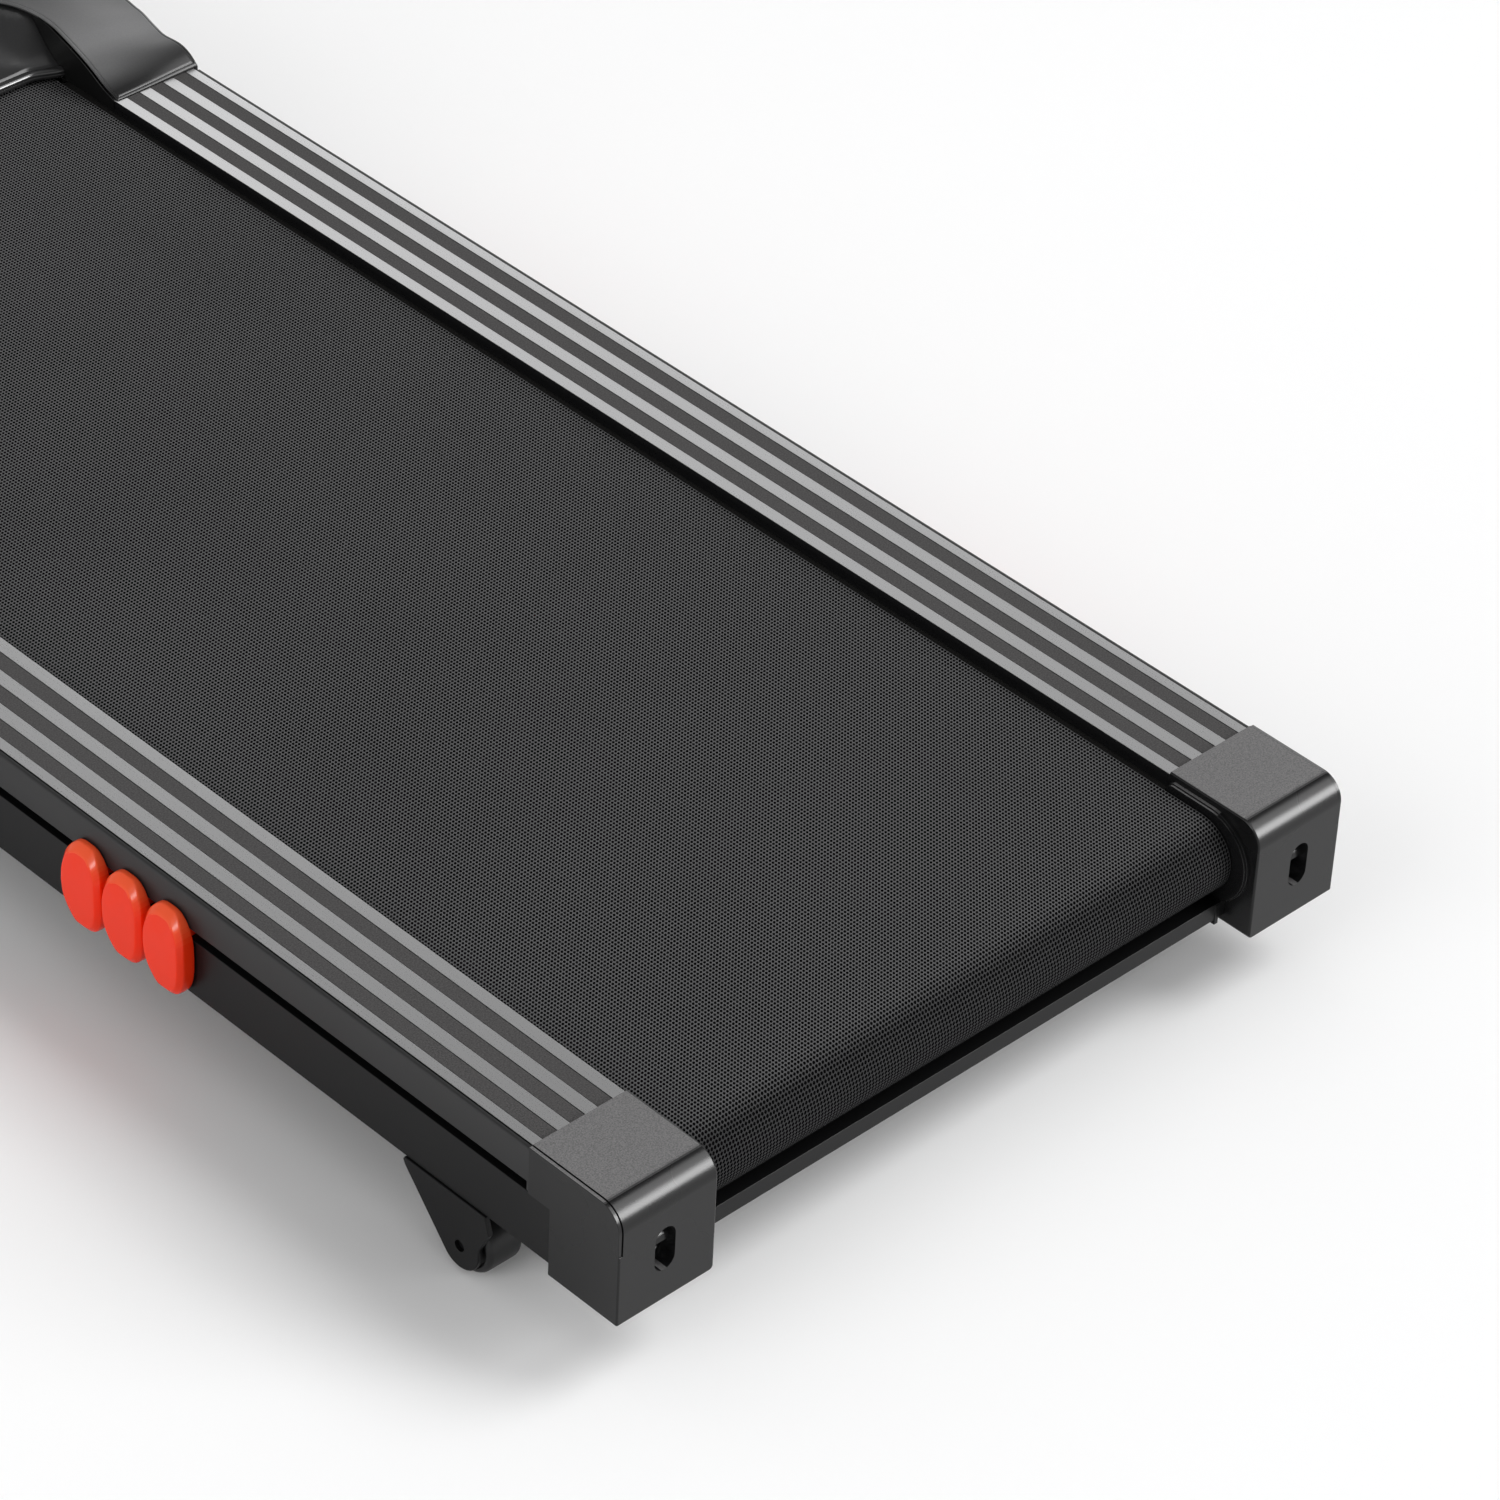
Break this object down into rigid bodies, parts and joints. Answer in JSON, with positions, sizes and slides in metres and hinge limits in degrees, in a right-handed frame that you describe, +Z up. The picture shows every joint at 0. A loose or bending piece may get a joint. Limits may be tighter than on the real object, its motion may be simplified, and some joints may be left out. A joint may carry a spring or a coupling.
{
  "type": "folding treadmill",
  "caption": "Home folding treadmill: running deck with ribbed foot rails, motor hood and gas strut, hinged on a base frame with uprights, handrails and console.",
  "frame": {"origin": "on the floor, at the middle of the machine's length and width", "axes": "+Z up, +Y to the front, the way the runner faces, +X to the runner's right"},
  "size_m": [0.684, 1.547, 1.245],
  "materials": {
    "frame_paint": "black satin powder coat",
    "satin_aluminium": "satin",
    "bright_steel": "bright",
    "grey_plastic": "fine grain",
    "gloss_grey": "gloss",
    "dark_plastic": "satin",
    "grip_rubber": "matte grip",
    "belt_weave": "fine woven texture",
    "orange_pad": "soft satin",
    "board_wood": "waxed board",
    "foam": "foam",
    "display_glass": "gloss lens",
    "start_green": "satin",
    "stop_red": "satin",
    "button_white": "satin"
  },
  "bodies": {
    "base": {"base_tube_left": "frame_paint", "base_tube_right": "frame_paint", "base_front_crossbar": "frame_paint", "base_rear_crossbar": "frame_paint", "upright_left": "frame_paint", "upright_right": "frame_paint", "base_foot_rear_left": "grip_rubber", "base_foot_rear_right": "grip_rubber", "base_foot_front_left": "grip_rubber", "base_foot_front_right": "grip_rubber", "console_housing": "gloss_grey", "console_display": "display_glass", "handrail_grip_left": "foam", "handrail_grip_right": "foam", "deck_pivot_shaft": "bright_steel"},
    "deck": {"deck_tube_left": "frame_paint", "deck_tube_right": "frame_paint", "rear_crossbar": "frame_paint", "middle_crossbar": "frame_paint", "motor_crossbar": "frame_paint", "running_board": "board_wood", "running_belt": "belt_weave", "rear_roller_axle": "bright_steel", "motor_body": "frame_paint", "drive_belt": "grip_rubber", "control_box": "dark_plastic", "foot_rail_left": "satin_aluminium", "foot_rail_right": "satin_aluminium", "rail_grip_left": "grip_rubber", "rail_grip_right": "grip_rubber", "side_skirt_left": "dark_plastic", "side_skirt_right": "dark_plastic", "rear_cap_left": "grey_plastic", "rear_cap_right": "grey_plastic", "shock_pad_rear_left": "orange_pad", "shock_pad_rear_right": "orange_pad", "shock_pad_front_left": "orange_pad", "shock_pad_front_right": "orange_pad", "wheel_bracket_left": "frame_paint", "wheel_bracket_right": "frame_paint", "belt_adjust_bolt_left": "bright_steel", "belt_adjust_bolt_right": "bright_steel", "motor_hood": "gloss_grey", "belly_pan": "dark_plastic"},
    "strut_tube": {"strut_cylinder": "frame_paint"},
    "strut_shaft": {"strut_rod": "bright_steel"},
    "drive_roller": {"front_roller": "bright_steel"},
    "idle_roller": {"rear_roller": "bright_steel"},
    "motor_shaft": {"motor_pulley": "bright_steel"},
    "rear_wheel_l": {"rear_wheel_left": "dark_plastic"},
    "rear_wheel_r": {"rear_wheel_right": "dark_plastic"},
    "front_wheel_l": {"front_wheel_left": "dark_plastic"},
    "front_wheel_r": {"front_wheel_right": "dark_plastic"},
    "start": {"start_button": "start_green"},
    "stop": {"stop_button": "stop_red"},
    "speed_up": {"speed_up_button": "button_white"},
    "speed_down": {"speed_down_button": "button_white"},
    "key": {"safety_key": "stop_red"},
    "lock": {"fold_lock_knob": "stop_red"},
    "switch": {"power_switch": "stop_red"}
  },
  "joints": [
    {"name": "deck_fold", "type": "hinge", "parent": "base", "child": "deck", "pos_m": [0, 0.5675, 0.0745], "axis": [-1, 0, 0], "range_deg": [0, 80]},
    {"name": "strut_swing", "type": "hinge", "parent": "base", "child": "strut_tube", "pos_m": [0, 0.4935, 0.03], "axis": [-1, 0, 0], "range_deg": [0, 84]},
    {"name": "strut_extend", "type": "slide", "parent": "strut_tube", "child": "strut_shaft", "axis": [0, -0.9997, 0.024], "range_m": [0, 0.108]},
    {"name": "front_roller_spin", "type": "hinge", "parent": "deck", "child": "drive_roller", "pos_m": [0, 0.3725, 0.0918], "axis": [1, 0, 0], "continuous": true},
    {"name": "rear_roller_spin", "type": "hinge", "parent": "deck", "child": "idle_roller", "pos_m": [0, -0.7325, 0.0918], "axis": [1, 0, 0], "continuous": true},
    {"name": "motor_spin", "type": "hinge", "parent": "deck", "child": "motor_shaft", "pos_m": [0, 0.4925, 0.125], "axis": [1, 0, 0], "continuous": true},
    {"name": "rear_wheel_left_spin", "type": "hinge", "parent": "deck", "child": "rear_wheel_l", "pos_m": [-0.2695, -0.6482, 0.02], "axis": [1, 0, 0], "continuous": true},
    {"name": "rear_wheel_right_spin", "type": "hinge", "parent": "deck", "child": "rear_wheel_r", "pos_m": [0.2695, -0.6482, 0.02], "axis": [1, 0, 0], "continuous": true},
    {"name": "front_wheel_left_spin", "type": "hinge", "parent": "base", "child": "front_wheel_l", "pos_m": [-0.32, 0.7435, 0.031], "axis": [1, 0, 0], "continuous": true},
    {"name": "front_wheel_right_spin", "type": "hinge", "parent": "base", "child": "front_wheel_r", "pos_m": [0.32, 0.7435, 0.031], "axis": [1, 0, 0], "continuous": true},
    {"name": "start_press", "type": "slide", "parent": "base", "child": "start", "axis": [0, 0.9409, -0.3387], "range_m": [0, 0.0015], "stiffness_N_per_m": 400},
    {"name": "stop_press", "type": "slide", "parent": "base", "child": "stop", "axis": [0, 0.9409, -0.3387], "range_m": [0, 0.0015], "stiffness_N_per_m": 400},
    {"name": "speed_up_press", "type": "slide", "parent": "base", "child": "speed_up", "axis": [0, 0.9409, -0.3387], "range_m": [0, 0.0015], "stiffness_N_per_m": 400},
    {"name": "speed_down_press", "type": "slide", "parent": "base", "child": "speed_down", "axis": [0, 0.9409, -0.3387], "range_m": [0, 0.0015], "stiffness_N_per_m": 400},
    {"name": "safety_key_pull", "type": "slide", "parent": "base", "child": "key", "axis": [0, -0.9409, 0.3387], "range_m": [0, 0.03]},
    {"name": "fold_lock_pull", "type": "slide", "parent": "base", "child": "lock", "axis": [1, 0, 0], "range_m": [0, 0.012], "stiffness_N_per_m": 600},
    {"name": "power_switch_rock", "type": "hinge", "parent": "deck", "child": "switch", "pos_m": [-0.2, 0.62, 0.105], "axis": [1, 0, 0], "range_deg": [-8, 8]}
  ],
  "couplings": [
    {"joint": "strut_swing", "follows": "deck_fold", "ratio": 1.046},
    {"joint": "strut_extend", "follows": "deck_fold", "m_per_rad": 0.076554},
    {"joint": "rear_roller_spin", "follows": "front_roller_spin", "ratio": 1},
    {"joint": "motor_spin", "follows": "front_roller_spin", "ratio": 3}
  ]
}
